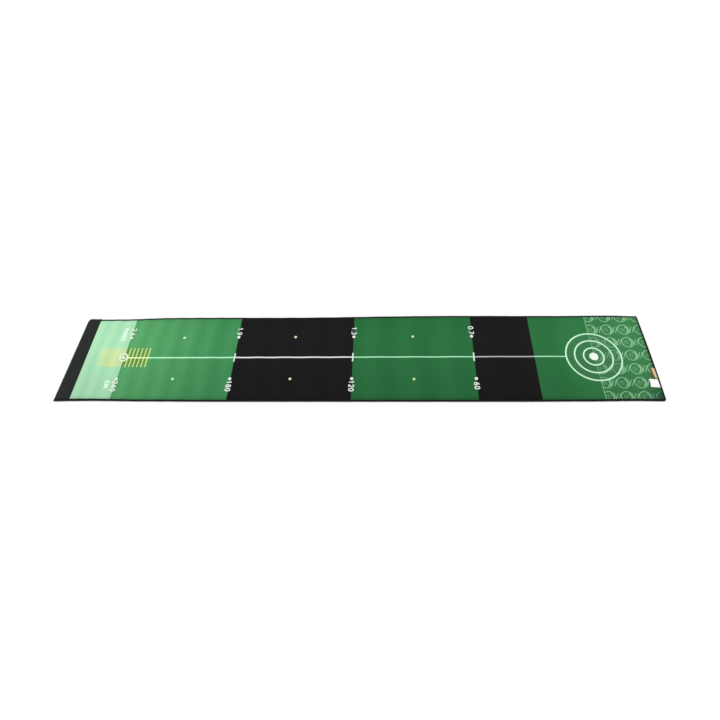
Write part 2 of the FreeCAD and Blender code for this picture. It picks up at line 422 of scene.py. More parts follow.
class Finish:
    """A material built from expressions. Values that are the same all over go on the shader itself."""

    def __init__(self, name, **constants):
        self.material = bpy.data.materials.new(name)
        self.material.use_nodes = True
        self.tree = self.material.node_tree
        self.shader = self.tree.nodes["Principled BSDF"]
        for socket, value in constants.items():
            self.shader.inputs[socket.replace("_", " ")].default_value = value
        self.place = self.node("ShaderNodeTexCoord", {}, {}, 3)
        self.x = self.node("ShaderNodeSeparateXYZ", {}, {0: self.place}, 0)
        self.y = self.node("ShaderNodeSeparateXYZ", {}, {0: self.place}, 1)

    def along(self):
        """Millimetres from the start end."""
        return (self.x - START) / MM

    def beside(self):
        """Millimetres from the near edge."""
        return (self.y - NEAR) / MM

    def away_from(self, x, y, side_share=1.0):
        """Distance from a point: the root of the squares of the steps along and, by its share, across."""
        step_x, step_y = self.x - x, self.y - y
        return (step_x * step_x + step_y * step_y * side_share).math("SQRT")

    def node(self, kind, settings, inputs, output=0):
        """Adds a node: its settings first, then its sockets' values or links."""
        made = self.tree.nodes.new(kind)
        for name, value in settings.items():
            setattr(made, name, value)
        for name, value in inputs.items():
            if isinstance(value, Value):
                self.tree.links.new(value.socket, made.inputs[name])
            else:
                made.inputs[name].default_value = value
        return Value(self, made.outputs[output])

    def mix(self, factor, first, second):
        """The first colour where factor is 0 and the second where it is 1."""
        return self.node("ShaderNodeMix", {"data_type": "RGBA"}, {0: factor, 6: first, 7: second}, 2)

    def shade(self, colour, amount):
        """A colour made lighter or darker."""
        return self.node("ShaderNodeVectorMath", {"operation": "SCALE"}, {0: colour, 3: amount})

    def stretch(self, vector, x, y, z):
        """Coordinates scaled apart, so that a pattern is longer one way than another."""
        return self.node("ShaderNodeVectorMath", {"operation": "MULTIPLY"}, {0: vector, 1: (x, y, z)})

    def noise(self, vector, scale, detail=2.0):
        """Soft random spots from -1 to 1, so many to the metre."""
        spots = self.node("ShaderNodeTexNoise", {}, {"Vector": vector, "Scale": scale, "Detail": detail})
        return spots * 2.0 - 1.0

    def thread(self, part):
        """The piece's own thread coordinates: part 0 runs along the strip and part 1 round it."""
        own = self.node("ShaderNodeAttribute", {"attribute_name": "thread"}, {}, 1)
        return self.node("ShaderNodeSeparateXYZ", {}, {0: own}, part)

    def finish(self, colour, roughness, height=None, depth=0.0002):
        """Links what changes over the surface, and gives the material."""
        for socket, value in (("Base Color", colour), ("Roughness", roughness)):
            self.tree.links.new(value.socket, self.shader.inputs[socket])
        if height is not None:
            relief = self.node("ShaderNodeBump", {}, {"Strength": 1.0, "Distance": depth, "Height": height})
            self.tree.links.new(relief.socket, self.shader.inputs["Normal"])
        return self.material


# %% [markdown]
# ## Velvet
# Velvet is thousands of upright fibres on a woven base. From above, light sinks in between
# them, so the colours are deep and there is no gloss, only a faint sheen where the fibres lean.
# Fine bumps stand for the tufts. The light and shade of the roll's waves are painted into the
# colour too: broad soft stripes across the mat, lighter and a little warmer, then darker and
# cooler. Next to the binding, and towards the near side, painted shade makes the pile darker.

# %% Velvet finish
# Painted light and shade of the waves: tints for their shaded flanks and their lit flanks.
WAVE_SHADE_TINT = (0.885, 0.94, 0.92, 1.0)
WAVE_LIGHT_TINT = (1.115, 1.06, 1.08, 1.0)


def pile(finish, colour, strength=1.0, shade_share=1.0):
    """Adds the tufts, the painted shade of the waves and the painted shade by the seams to a colour,
    and links the whole finish.

    strength is how clear the painted wave shade is, and the last argument is how much of the painted
    shade by the seams and on the near side is kept.
    """
    grown = finish.along() * (TURN_GROWTH / FIRST_TURN) + 1.0
    count = grown.math("LOGARITHM", math.e) / TURN_GROWTH - TURN_SHIFT
    smudge = finish.noise(finish.stretch(finish.place, 9.0, 3.5, 1.0), 1.0, 3.0)
    bow = (finish.y * BOW_RATE + BOW_SHIFT).math("SINE") * BOW + finish.noise(finish.place, 11.0, 2.0) * 0.09
    # Painted light and shade of the waves: light on the flank that faces the lamp, dark on the other.
    wave_shading = ((count + bow) * (2 * math.pi)).math("COSINE")
    tufts = finish.noise(finish.place, 420.0, 3.0)
    brushed = finish.noise(finish.stretch(finish.place, 60.0, 22.0, 1.0), 1.0, 2.0)
    wave_shading = wave_shading * 0.8 + smudge * 0.5
    wave_lighting = finish.mix(wave_shading.between(-1.0, 1.0), WAVE_SHADE_TINT, WAVE_LIGHT_TINT)
    tinted = finish.node("ShaderNodeMix", {"data_type": "RGBA", "blend_type": "MULTIPLY"},
                         {0: strength, 6: colour, 7: wave_lighting}, 2)
    # Painted shade beside the near, far and target end seams, where the tape shades the pile.
    near = (finish.y - NEAR - SIDE_TAPE).between(0.0, 22 * MM)
    far = (FAR - SIDE_TAPE - finish.y).between(0.0, 16 * MM)
    end = (TARGET - END_TAPE - finish.x).between(0.0, 16 * MM)
    by_seam = (near * 0.24 + 0.76) * (far * 0.12 + 0.88) * (end * 0.3 + 0.7)
    beside = finish.beside()
    # Painted shade: darkest at the near edge, lightest about 320 mm in, a little darker again at the far
    # edge.
    near_side_shade = beside.between(0.0, 320.0) * 0.21 + 0.81 - beside.between(370.0, 490.0) * 0.03
    # The painted shade by the seams and on the near side, kept by the given share.
    by_seam = (by_seam * near_side_shade - 1.0) * shade_share + 1.0
    light = (tufts * 0.045 + brushed * 0.02 + smudge * 0.012 + 1.0) * by_seam
    height = tufts + brushed * 0.5
    return finish.finish(finish.shade(tinted, light), tufts * 0.06 + 0.88, height, 0.00035)


def velvet(name):
    """An empty velvet: matt, with the faint sheen of leaning fibres."""
    return Finish(name, Specular_IOR_Level=0.05, Sheen_Weight=0.02, Sheen_Roughness=0.45)


PANEL_EDGES = (277, 868, 1488, 2112, 2418, 2718)
PANEL_LEANS = (4.0, 4.0, 1.5, 0.0, 0.0, 0.0)   # how far an edge is out of square at the mat's sides, mm


def steps(finish, colours):
    """One colour after another down the mat, changing at each panel's edge."""
    distance = finish.along()
    sideways = finish.y / (FAR - NEAR) * 2.0
    colour = colours[0]
    for edge, lean, following in zip(PANEL_EDGES, PANEL_LEANS, colours[1:]):
        colour = finish.mix(distance + sideways * lean > edge, colour, following)
    return colour


# %% [markdown]
# ## The playing surface
# One cloth carries the whole print. Its panels are plain areas, so they are masks in its
# finish: mint where the player stands, then green and black in turn. Beside the start mark the
# print has a pale yellow wash and, between the gate's lines, a dark olive one. The mesh is a
# closed sheet: the pile's height on top, the rubber's top below, and rounded corners that stay
# hidden in the binding.

# %% Velvet cloth
mint = paint(176, 233, 189)
green_light = paint(91, 169, 107)
green_middle = paint(66, 143, 87)
black_start = paint(27, 27, 27)
green_deep = paint(44, 112, 63)
black_end = paint(26, 26, 26)
green_target = paint(49, 120, 67)
green_pattern = paint(63, 129, 78)
yellow_wash = paint(214, 236, 168)
olive_wash = paint(112, 146, 58)


def shaded_corner(f, colour):
    """Painted shade on the near target corner: a darker, bluer patch."""
    # Painted shade, full at the corner and gone about 92 mm from it.
    turned = 1 - f.away_from(along(2990), across(12), 0.7).between(12 * MM, 92 * MM)
    return f.mix(turned * 0.85, colour, paint(24, 76, 56))


def printed_panels():
    """The cloth's colours: the panels, two of them fading, the two washes and the paler target,
    with painted shade on the near target corner.
    """
    f = velvet("printed velvet")
    distance, beside = f.along(), f.beside()
    first_green = f.mix(distance.between(300, 800), green_light, green_middle)
    last_green = f.mix(distance.between(2440, 2570), green_deep, green_target)
    colour = steps(f, (mint, first_green, black_start, green_deep, black_end, last_green, green_pattern))
    in_gate = beside.between(193, 199) * (1 - beside.between(307, 313))
    soft_start = (distance + (beside - 194.0) * 0.26).between(140, 182)
    wash = in_gate * soft_start * (1 - beside.between(285, 313) * 0.6) * (1 - (distance > 277))
    olive = in_gate * (distance > 278) * (1 - distance.between(400, 410))
    blotch = f.noise(f.place, 30.0, 2.0) * 0.15 + 0.85
    core = 1 - ((beside - 250.0).math("ABSOLUTE")).between(8.0, 60.0) * 0.5
    colour = f.mix(wash * blotch, colour, yellow_wash)
    colour = f.mix(olive * core, colour, olive_wash)
    in_rings = f.away_from(TARGET_X, TARGET_Y) < 137 * MM
    colour = f.mix(in_rings * 0.4, colour, paint(72, 128, 88))
    # Painted shade on the near target corner.
    colour = shaded_corner(f, colour)
    return pile(f, colour, distance.between(270, 320) * 0.4 + 0.6)


HIDDEN = 1.9 * MM     # how far the sheets stop short of the binding's outer fold


def sheet_outline(x):
    """The near and far edge of a sheet at x: straight, and rounded in three of its corners.

    Each corner is a circle's or ellipse's quarter: the radius, less the root of what is left of it.
    """
    near_edge = np.full_like(x, NEAR + HIDDEN)
    far_edge = np.full_like(x, FAR - HIDDEN)
    r, past = NEAR_RADIUS - HIDDEN, np.maximum(x - (TARGET - NEAR_RADIUS), 0)
    near_edge += r - np.sqrt(np.maximum(r * r - past * past, 0))
    r, past = FAR_RADIUS - HIDDEN, np.maximum(x - (TARGET - FAR_RADIUS), 0)
    far_edge -= r - np.sqrt(np.maximum(r * r - past * past, 0))
    into_corner = np.clip(1 - (x - START - 3 * MM) / BAND_RADIUS, 0, 1)
    far_edge -= BAND_TURN * (1 - np.sqrt(1 - into_corner ** 2))
    return near_edge, far_edge


def sheet_grid(spacing, sides):
    """X and Y of a sheet's grid. sides are millimetres in from each long edge, close at the seams."""
    x = np.concatenate([START + (4 + np.array([0, 1, 2, 4, 7, 11])) * MM,
                        np.arange(START + 20 * MM, TARGET - 40 * MM, spacing),
                        np.linspace(TARGET - 40 * MM, TARGET - HIDDEN, 19)])
    near_edge, far_edge = sheet_outline(x)
    half = np.array(sides) * MM
    wide = FAR - NEAR - 2 * HIDDEN
    middle = np.linspace(half[-1], wide - half[-1], 30)
    v = np.concatenate([half[:-1], middle, (wide - half[:-1])[::-1]]) / wide
    y = near_edge[:, None] + v[None] * (far_edge - near_edge)[:, None]
    return np.broadcast_to(x[:, None], y.shape), y


def laid_sheet(x, y, top, bottom):
    """A closed sheet: the section runs across the top and back across the bottom."""
    return both_sides(np.stack([x, y, top], -1), np.stack([x, y, bottom], -1))


x, y = sheet_grid(5 * MM, (0, 3, 6, 7.5, 9, 11, 13, 16, 20, 26))
cloth = laid_sheet(x, y, cloth_top(x, y), RUBBER_TOP + lift(x, y))
velvet_cloth = strip("velvet_cloth", cloth, printed_panels(), 2, slot="printed_velvet",
                     stands_for=["playing_surface"])

# %% [markdown]
# ## The rubber
# The backing is a foamed rubber sheet, pressed with a fine grid so that it grips the floor. It
# only shows from below and as a thin line at the edge of a lifted wave. It takes the same
# height function as the cloth, and it is pinched up where the binding folds under it.

# %% Rubber sheet


def rubber_finish():
    """Dark foamed rubber: fine noise for the foam, and a product of two sines for the pressed grid."""
    f = Finish("backing rubber", Specular_IOR_Level=0.3)
    grid = f.x.wave(4 * MM) * f.y.wave(4 * MM)
    foam = f.noise(f.place, 900.0, 3.0)
    patches = f.noise(f.place, 14.0, 2.0)
    colour = f.shade(f.mix(foam.between(-1, 1), paint(38, 40, 40), paint(56, 58, 57)), patches * 0.08 + 1.0)
    return f.finish(colour, foam * 0.08 + 0.82, grid * 0.6 + foam * 0.4, 0.0004)


x, y = sheet_grid(20 * MM, (0, 6, 8, 10, 30))
inside = np.minimum.reduce([y - NEAR - SIDE_TAPE, FAR - SIDE_TAPE - y, TARGET - END_TAPE - x, x - BAND_EDGE])
under = TAPE * (1 - ease(inside / (3 * MM) + 1))
rubber = laid_sheet(x, y, RUBBER_TOP + lift(x, y), under + lift(x, y))
strip("rubber_sheet", rubber, rubber_finish(), 1, slot="backing_rubber", stands_for=["rubber_backing"])

# %% [markdown]
# ## The binding
# A folded tape wraps the edge: under the mat, round its side in a half-round fold, and back
# over the top. Its section is worked out between an outer path, the mat's outline, and an inner
# one, the tape's edge on the cloth. Two paths rather than one let the tape be narrower at the
# target end and turn a sharp corner without crossing itself. A shallow groove
# is where the stitches pull it down. The near run also climbs over the end of the band.

# %% Binding section
ROUND = 7             # points round half of the fold
SEAM_INSET = 2 * MM   # from the tape's inner edge to its stitches


def folded_tape(outer, inner, low, high, under_width=None):
    """Points of a folded tape, shaped (stations, section, 3).

    outer and inner are (stations, 2) paths; low and high are the heights of its two outer faces.
    The outer side of the section is: along the bottom, half round the fold, and along the top
    with a groove at the seam. The inner side is the same, one cloth thickness in.
    """
    n = len(outer)
    width = np.linalg.norm(inner - outer, axis=1)
    low = np.broadcast_to(low, (n,)).astype(float)
    high = np.broadcast_to(high, (n,)).astype(float)
    cloth = np.minimum(TAPE, 0.42 * (high - low))
    fold = (high - low) / 2
    beneath = width if under_width is None else np.minimum(under_width, width)
    beneath = np.maximum(beneath, fold * 1.05)
    angle = np.linspace(-np.pi / 2, np.pi / 2, ROUND)
    level = np.array([0.0, 0.3, 0.6, 0.85])
    seam = SEAM_INSET / width

    def side(shrink):
        radius = fold - cloth * shrink
        a_round = fold[:, None] - radius[:, None] * np.cos(angle)
        z_round = (low + fold)[:, None] + radius[:, None] * np.sin(angle)
        a_under = beneath[:, None] - (beneath - fold)[:, None] * level
        z_under = np.repeat((low + cloth * shrink)[:, None], len(level), 1)
        top_a = np.stack([fold + (width - fold) * t for t in (0.15, 0.3)]
                         + [width * (1 - seam * t) for t in (1.9, 1.35, 1.0, 0.65, 0.3, 0.08, 0.0)], -1)
        dent = np.array([0.02, 0.03, 0.0, -0.07, -0.16, -0.07, 0.01, -0.04, -0.16]) * MM
        z_top = (high - cloth * shrink)[:, None] + dent * (1 - 0.5 * shrink)
        return (np.concatenate([a_under, a_round, top_a], 1), np.concatenate([z_under, z_round, z_top], 1))

    a, z = (both_sides(outside, inside) for outside, inside in zip(side(0.0), side(1.0)))
    share = (a / width[:, None])[..., None]
    flat = outer[:, None] + share * (inner - outer)[:, None]
    return np.concatenate([flat, (z + lift(flat[..., 0], flat[..., 1]))[..., None]], -1)


# %% [markdown]
# ## Binding finish
# The tape is a dense plain weave, matt black, slightly greyed by lint and wear.
# The thread coordinates run along and round the tape, so the weave turns the corners with it.

# %% Binding finish


def tape_finish():
    """Matt black plain weave: sines along and round the strip for weft and warp, greyed by lint."""
    f = Finish("binding tape", Specular_IOR_Level=0.12, Sheen_Weight=0.01)
    weft, warp = f.thread(0).wave(1.1 * MM), f.thread(1).wave(1.1 * MM)
    lint = f.noise(f.place, 700.0, 2.0)
    faded = f.noise(f.place, 25.0, 3.0)
    colour = f.mix((lint * 0.5 + faded * 0.5).between(-0.6, 0.9), paint(8, 10, 9), paint(26, 29, 27))
    return f.finish(colour, lint * 0.08 + 0.78, warp * weft + lint * 0.3, 0.00012)


binding_black = tape_finish()

# %% [markdown]
# ## Paths round the mat
# The outer path is the mat's outline. At the near target corner the fold turns with a 15 mm
# radius. At the far one it is nearly square, so the inner path simply turns its own small corner.

# %% Near and far runs
NEAR_RUN_END = TARGET - NEAR_RADIUS
FAR_RUN_END = far_high.x
NOSE = BAND_TOP / 2
SLOPE_BACK, SLOPE_RUN = 13 * MM, 8 * MM   # where the band's slope starts before its edge, and its length


def down_slope(x):
    """How far x is down the slope from the band's level top, at 0, to its sewn margin, at 1."""
    return np.clip((x - (BAND_EDGE - SLOPE_BACK)) / SLOPE_RUN, 0, 1)


def band_height(x):
    """Height of the band's top at x: a half-round nose, level, a slope, then the sewn margin."""
    from_nose = np.clip(x - START, 0, NOSE)
    nose = NOSE + np.sqrt(np.maximum(NOSE ** 2 - (NOSE - from_nose) ** 2, 0))
    level = BAND_TOP + (HEM_TOP - BAND_TOP) * ease(down_slope(x))
    return np.where(x < START + NOSE, nose * (level / BAND_TOP), level)


near_x = np.unique(np.concatenate([START + NOSE * (1 - np.cos(np.linspace(0.06, np.pi / 2, 8))),
                                   np.linspace(START + NOSE, BAND_EDGE - 14 * MM, 16),
                                   np.linspace(BAND_EDGE - 14 * MM, BAND_EDGE + 4 * MM, 25),
                                   np.linspace(BAND_EDGE + 4 * MM, NEAR_RUN_END, 595)]))
near_outer = np.stack([near_x, np.full_like(near_x, NEAR)], -1)
near_inner = np.stack([near_x, NEAR + near_width(near_x)], -1)
off_band = ease((near_x - BAND_EDGE - 0.2 * MM) / (2.2 * MM))
near_high = (band_height(near_x) + TAPE) * (1 - off_band) + TAPE_TOP * off_band
nose_drop = np.sqrt(np.maximum(NOSE ** 2 - np.maximum(START + NOSE - near_x, 0) ** 2, 0))
in_nose = near_x < START + NOSE
near_low = np.where(in_nose, NOSE - nose_drop, 0.0)
near_high = np.where(in_nose, NOSE + nose_drop + TAPE * nose_drop / NOSE, near_high)
near_tape = folded_tape(near_outer, near_inner, near_low, near_high,
                        np.where(near_x > BAND_EDGE, SIDE_TAPE, 3.2 * MM))
strip("near_tape", near_tape, binding_black, 16, slot="binding_tape", stands_for=["near_edge_binding"])

far_x = np.linspace(BAND_EDGE - 9 * MM, FAR_RUN_END, 593)
far_outer = np.stack([far_x, np.full_like(far_x, FAR)], -1)
far_inner = far_outer - [0, SIDE_TAPE]
far_tape = folded_tape(far_outer, far_inner, 0.0, TAPE_TOP)
strip("far_tape", far_tape, binding_black, 16, slot="binding_tape", stands_for=["far_edge_binding"])

# %% [markdown]
# The target end's run goes round both corners. Each bend gets its own short stations, and the
# tape narrows from its side width to its end width on the way. Half way along the end the tape
# was let out, so the mat's outline bows there.

# %% Target end run
END_BOW = 3.6 * MM


def oval(x, y, radius_x, radius_y, first, last, count=14):
    """Part of an ellipse between two angles in degrees."""
    angle = np.radians(np.linspace(first, last, count))
    return np.stack([x + radius_x * np.cos(angle), y + radius_y * np.sin(angle)], -1)


def arc(x, y, radius, first, last, count):
    """Part of a circle between two angles in degrees."""
    return oval(x, y, radius, radius, first, last, count)


def line(a, b, count):
    """Evenly spaced points from a to b, without b."""
    return np.linspace(a, b, count, endpoint=False)


near_bend = arc(NEAR_RUN_END, NEAR + NEAR_RADIUS, NEAR_RADIUS, -90, 0, 19)
far_bend = arc(TARGET - FAR_RADIUS, FAR - FAR_RADIUS, FAR_RADIUS, 0, 90, 15)
end_outer = np.concatenate([near_bend, line(near_bend[-1] + [0, 4 * MM], far_bend[0], 93), far_bend,
                            [[FAR_RUN_END, FAR]]])
middle_out = ease((end_outer[:, 0] - TARGET) / (6 * MM) + 1) * (1 - (end_outer[:, 1] / FAR) ** 2)
end_outer[:, 0] += END_BOW * middle_out
near_inside = arc(NEAR_RUN_END, near_inner[-1, 1] + 8 * MM, 8 * MM, -90, 0, 19)
corner = (TARGET - END_TAPE - 1.2 * MM, FAR - SIDE_TAPE - 1.2 * MM)
far_inside = arc(*corner, 1.2 * MM, 0, 90, 15)
end_inner = np.concatenate([near_inside, line(near_inside[-1] + [0, 2 * MM], far_inside[0], 93), far_inside,
                            [[FAR_RUN_END - 1.3 * MM, FAR - SIDE_TAPE]]])
end_tape = folded_tape(end_outer, end_inner, 0.0, TAPE_TOP)
strip("end_tape", end_tape, binding_black, 4, slot="binding_tape", stands_for=["target_end_binding"])

# %% [markdown]
# ## Stitches
# A lockstitch row looks like a line of short grains: each stitch rises out of its hole, runs
# about three millimetres and dives into the next. One small grain, six-sided and tapered at
# both ends, is repeated along each seam. There are about two thousand, so a grain has
# only a few dozen faces.

# %% One stitch
STITCH = 3.1 * MM
PITCH = 3.7 * MM
RINGS = np.array([0.0, 0.12, 0.35, 0.65, 0.88, 1.0])   # places along a stitch, as shares
FAT = np.array([0.05, 0.62, 1.0, 1.0, 0.62, 0.05])     # how thick it is at each
PROUD = 0.08 * MM     # a stitch's middle above the cloth


def grain(length, thick):
    """A stitch along X, centred, its section an ellipse that swells and sinks along its length."""
    turn = np.linspace(0, 2 * np.pi, 6, endpoint=False)
    x = np.repeat((RINGS - 0.5) * length, 6)
    y = (FAT[:, None] * np.cos(turn) * thick * 0.5).ravel()
    z = (FAT[:, None] * np.sin(turn) * thick * 0.42 + (FAT[:, None] - 1) * thick * 0.5).ravel()
    faces, r, c = quads(6, 6, False, True)
    lids = [[0, 1, 2, 3], [0, 3, 4, 5], [30, 31, 32, 33], [30, 33, 34, 35]]
    thread = np.stack([np.repeat(RINGS, 6), np.tile(np.arange(6) / 6, 6)], -1)
    return np.stack([x, y, z], -1), faces.tolist() + lids, thread


def sewn(path, heights, thick=0.7 * MM):
    """Stitches laid at even steps along a path, each turned to follow it."""
    step = np.linalg.norm(np.diff(path, axis=0), axis=1)
    run = np.concatenate([[0], np.cumsum(step)])
    at = np.arange(PITCH / 2, run[-1] - PITCH * 0.4, PITCH)
    track = np.concatenate([path, heights[:, None]], 1)
    back, centre, front = (np.stack([np.interp(at + reach, run, track[:, k]) for k in range(3)], -1)
                           for reach in (-STITCH / 2, 0, STITCH / 2))
    ahead = (front - back)[:, :2]
    ahead /= np.linalg.norm(ahead, axis=1)[:, None]
    shape, faces, thread = grain(STITCH, thick)
    slant = (front - back)[:, 2] / STITCH
    flat = (centre[:, None, :2] + ahead[:, None] * shape[:, :1]
            + np.stack([-ahead[:, 1], ahead[:, 0]], -1)[:, None] * shape[:, 1:2])
    z = centre[:, 2:] + slant[:, None] * shape[:, 0] + shape[:, 2]
    return np.concatenate([flat, z[..., None]], -1), faces, thread


def thread_finish():
    """Black thread: a sine that runs slantwise along and round each stitch is its twist."""
    f = Finish("binding thread", Specular_IOR_Level=0.25, Sheen_Weight=0.02)
    twist = (f.thread(0) * 5.0 + f.thread(1) * 2.0).wave(1.0)
    worn = f.noise(f.place, 60.0, 2.0)
    colour = f.mix(worn.between(-0.7, 0.8), paint(14, 16, 15), paint(34, 37, 35))
    return f.finish(colour, worn * 0.06 + 0.55, twist, 0.00006)


sewing_thread = thread_finish()


def seam_path(outer, inner):
    """The path that runs beside the tape's inner edge, SEAM_INSET from it."""
    width = np.linalg.norm(inner - outer, axis=1)[:, None]
    return inner + (outer - inner) * SEAM_INSET / width


def seam(name, path, heights, node):
    """A row of stitches as one piece."""
    work = Work()
    work.copies(*sewn(path, heights))
    return work.piece(name, sewing_thread, slot="binding_thread", stands_for=[node], sharp=180)


# %% [markdown]
# The three rows on the tape lie in its groove and stand a hair above its top. The near row starts
# a little way in, where the tape has come round the band's nose.

# %% Binding seams
path = seam_path(near_outer, near_inner)
over_nose = 10        # stations of the near run that go round the nose
near_heights = near_high + lift(path[:, 0], path[:, 1]) + PROUD
seam("near_seam", path[over_nose:], near_heights[over_nose:], "near_edge_stitching")
for name, (outer, inner), node in (("far_seam", (far_outer, far_inner), "far_edge_stitching"),
                                   ("end_seam", (end_outer, end_inner), "target_end_stitching")):
    path = seam_path(outer, inner)
    seam(name, path, TAPE_TOP + lift(path[:, 0], path[:, 1]) + PROUD, node)

# %% [markdown]
# ## The band
# A wide strip of canvas is folded round the start end with a flat stiffener inside. It stands
# a little higher than the mat, slopes down at its inner edge to a sewn margin, and its far end is
# closed by a seam that puckers, so that end stands up and out a little, with a rounded corner.
# The section is the folded cloth seen from its end, carried along Y.

# %% Band
BAND_CLOTH = 0.6 * MM
BAND_NEAR = NEAR + 2.9 * MM   # inside the tape's fold, which wraps this end
PUCKER = 2.6 * MM
SLIT = 0.02   # how far open the far end stays, so that its two layers never share a point


def band_section(inward):
    """X and Z of the folded cloth, from its lower hem round the nose to its upper hem."""
    angle = np.linspace(-np.pi / 2, np.pi / 2, 13)
    radius = NOSE - inward
    nose_x = START + NOSE - radius * np.cos(angle)
    nose_z = NOSE + radius * np.sin(angle)
    x_over = START + NOSE + (BAND_EDGE - START - NOSE) * np.linspace(0.04, 1, 40)
    x_under = x_over[::-3]
    z_under = np.full(len(x_under), inward)
    z_over = band_height(x_over) - inward
    return np.concatenate([x_under, nose_x, x_over]), np.concatenate([z_under, nose_z, z_over])


def band_grid():
    """The band's points: the section at each Y, shrunk almost to a line at its closed far end."""
    last = FAR - 3 * MM * (1 - np.sin(np.linspace(0.1, np.pi / 2, 9)))
    y = np.concatenate([np.linspace(BAND_NEAR, FAR - 60 * MM, 90),
                        np.linspace(FAR - 59 * MM, FAR - 3 * MM, 40), last])
    left = np.maximum(y - (FAR - BAND_TURN), 0) / BAND_TURN
    inset = BAND_RADIUS * (1 - np.sqrt(np.maximum(1 - left ** 2, 0)))
    close = np.clip((FAR - y) / (2.6 * MM), 0, 1)
    close = np.maximum(np.sqrt(np.maximum(1 - (1 - close) ** 2, 0)), SLIT)
    sides = []
    for inward in (0.0, BAND_CLOTH):
        section_x, section_z = band_section(inward)
        share = (BAND_EDGE - section_x) / (BAND_EDGE - START)
        x = section_x[None] + inset[:, None] * np.clip(share, 0, 1)[None]
        x = x + band_lean(y)[:, None] * down_slope(section_x)[None]
        z = NOSE + (section_z[None] - NOSE) * close[:, None]
        sides.append((x, z))
    x, z = (both_sides(outside, inside) for outside, inside in zip(*sides))
    yy = np.repeat(y[:, None], x.shape[1], 1)
    top = ease((z - 1.5 * MM) / (2.5 * MM))
    end = ease((yy - FAR + 40 * MM) / (34 * MM))
    ruck = np.sin(yy * 95 + 40 * x) + 0.6 * np.sin(yy * 41 + 1.0) + 0.5 * np.sin(x * 260 + yy * 12)
    z = z + top * (0.09 * MM * ruck + end * PUCKER * (0.75 + 0.25 * np.sin((x - START) * 90)))
    ledge = ease((x - stiff_low.x) / (6 * MM)) * ease((stiff_high.x - x) / (6 * MM))
    z = z + top * 0.25 * MM * (ledge - 1) * ease((x - START) / (3 * MM))
    yy = yy + end * (1.8 * MM + 0.5 * MM * np.sin((x - START) * 120)) * ease((yy - FAR + 20 * MM) / (20 * MM))
    return np.stack([x, yy, z], -1)


def band_finish():
    """Dull black canvas: a product of two sines for its weave, greyer over the nose."""
    f = Finish("band cloth", Specular_IOR_Level=0.1, Sheen_Weight=0.02)
    weave = f.x.wave(1.3 * MM) * f.y.wave(1.3 * MM)
    lint = f.noise(f.place, 500.0, 3.0)
    worn = f.noise(f.stretch(f.place, 40.0, 8.0, 20.0), 1.0, 3.0)
    # Greyer over the first 7 mm from the start end, on the nose.
    at_nose = 1 - f.along().between(0.5, 7.0)
    faded = (worn * 0.4 + lint * 0.25 + at_nose * 0.55).between(-0.6, 1.0)
    colour = f.mix(faded, paint(22, 28, 26), paint(50, 56, 53))
    return f.finish(colour, lint * 0.06 + 0.8, weave + lint * 0.4, 0.00016)


band_points = band_grid()
folded_band = strip("folded_band", band_points, band_finish(), 2, slot="band_cloth",
                    stands_for=["start_end_band"])

# %% [markdown]
# Two short seams hold the band: one on its inner margin, and one that closes its far end.

# %% Band seams


def on_band(x, y):
    """Height of the band's top at a place, read off its own points."""
    upper = band_points[:, :band_points.shape[1] // 2]
    flat = upper[..., :2].reshape(-1, 2)
    z = upper[..., 2].ravel()
    keep = z > 2.6 * MM
    flat, z = flat[keep], z[keep]
    apart = ((flat[None] - np.stack([x, y], -1)[:, None]) ** 2).sum(-1)
    near_four = np.argsort(apart, axis=1)[:, :4]
    weight = 1 / (np.take_along_axis(apart, near_four, 1) + 1e-9)
    return (z[near_four] * weight).sum(1) / weight.sum(1)


y = np.linspace(hem_low.y, hem_high.y, 240)
margin = np.stack([(hem_low.x + hem_high.x) / 2 + band_lean(y), y], -1)
margin_seam = seam("margin_seam", margin, on_band(margin[:, 0], y) + 0.1 * MM, "band_inner_stitching")
x = np.linspace(START + 19 * MM, BAND_EDGE - 12 * MM, 40)
closing = np.stack([x, np.full_like(x, FAR - 3.4 * MM)], -1)
closing_seam = seam("closing_seam", closing, on_band(x, closing[:, 1]) + 0.12 * MM, "band_end_stitching")

# %% [markdown]
# ## The stiffener
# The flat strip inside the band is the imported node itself. It is hidden in use, so it keeps
# its shape and only gets a finish: grey sheet plastic with fine scratches.

# %% Stiffener finish


def plastic_finish():
    """Grey sheet plastic: noise drawn out along Y makes its scratches."""
    f = Finish("stiffener plastic", Specular_IOR_Level=0.5)
    scratches = f.noise(f.stretch(f.place, 900.0, 12.0, 900.0), 1.0, 2.0)
    cloudy = f.noise(f.place, 18.0, 2.0)
    colour = f.mix(cloudy.between(-1, 1), paint(120, 122, 122), paint(140, 142, 141))
    return f.finish(colour, scratches * 0.08 + 0.45, scratches, 0.00005)


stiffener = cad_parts["start_end_stiffener"]
stiffener.data.materials.clear()
stiffener.data.materials.append(plastic_finish())

# %% [markdown]
# ## Printed marks
# Lines, rings and figures are dyed into the pile. Here each is a very thin strip that lies on
# the cloth and follows its waves, with its lower half sunk in, so its outline stays crisp
# from any distance, where a mask in the cloth's texture would blur. Strips that cross
# lie at slightly different heights.

# %% Strokes on the cloth
SUNK = -0.35 * MM


def half_across(path, width, closed):
    """The step from each point of a path to its side: half the width along its normal."""
    if closed:
        ahead = np.roll(path, -1, 0) - np.roll(path, 1, 0)
    else:
        ahead = np.gradient(path, axis=0)
    ahead = ahead / np.linalg.norm(ahead, axis=1)[:, None]
    return np.stack([-ahead[:, 1], ahead[:, 0]], -1) * width / 2


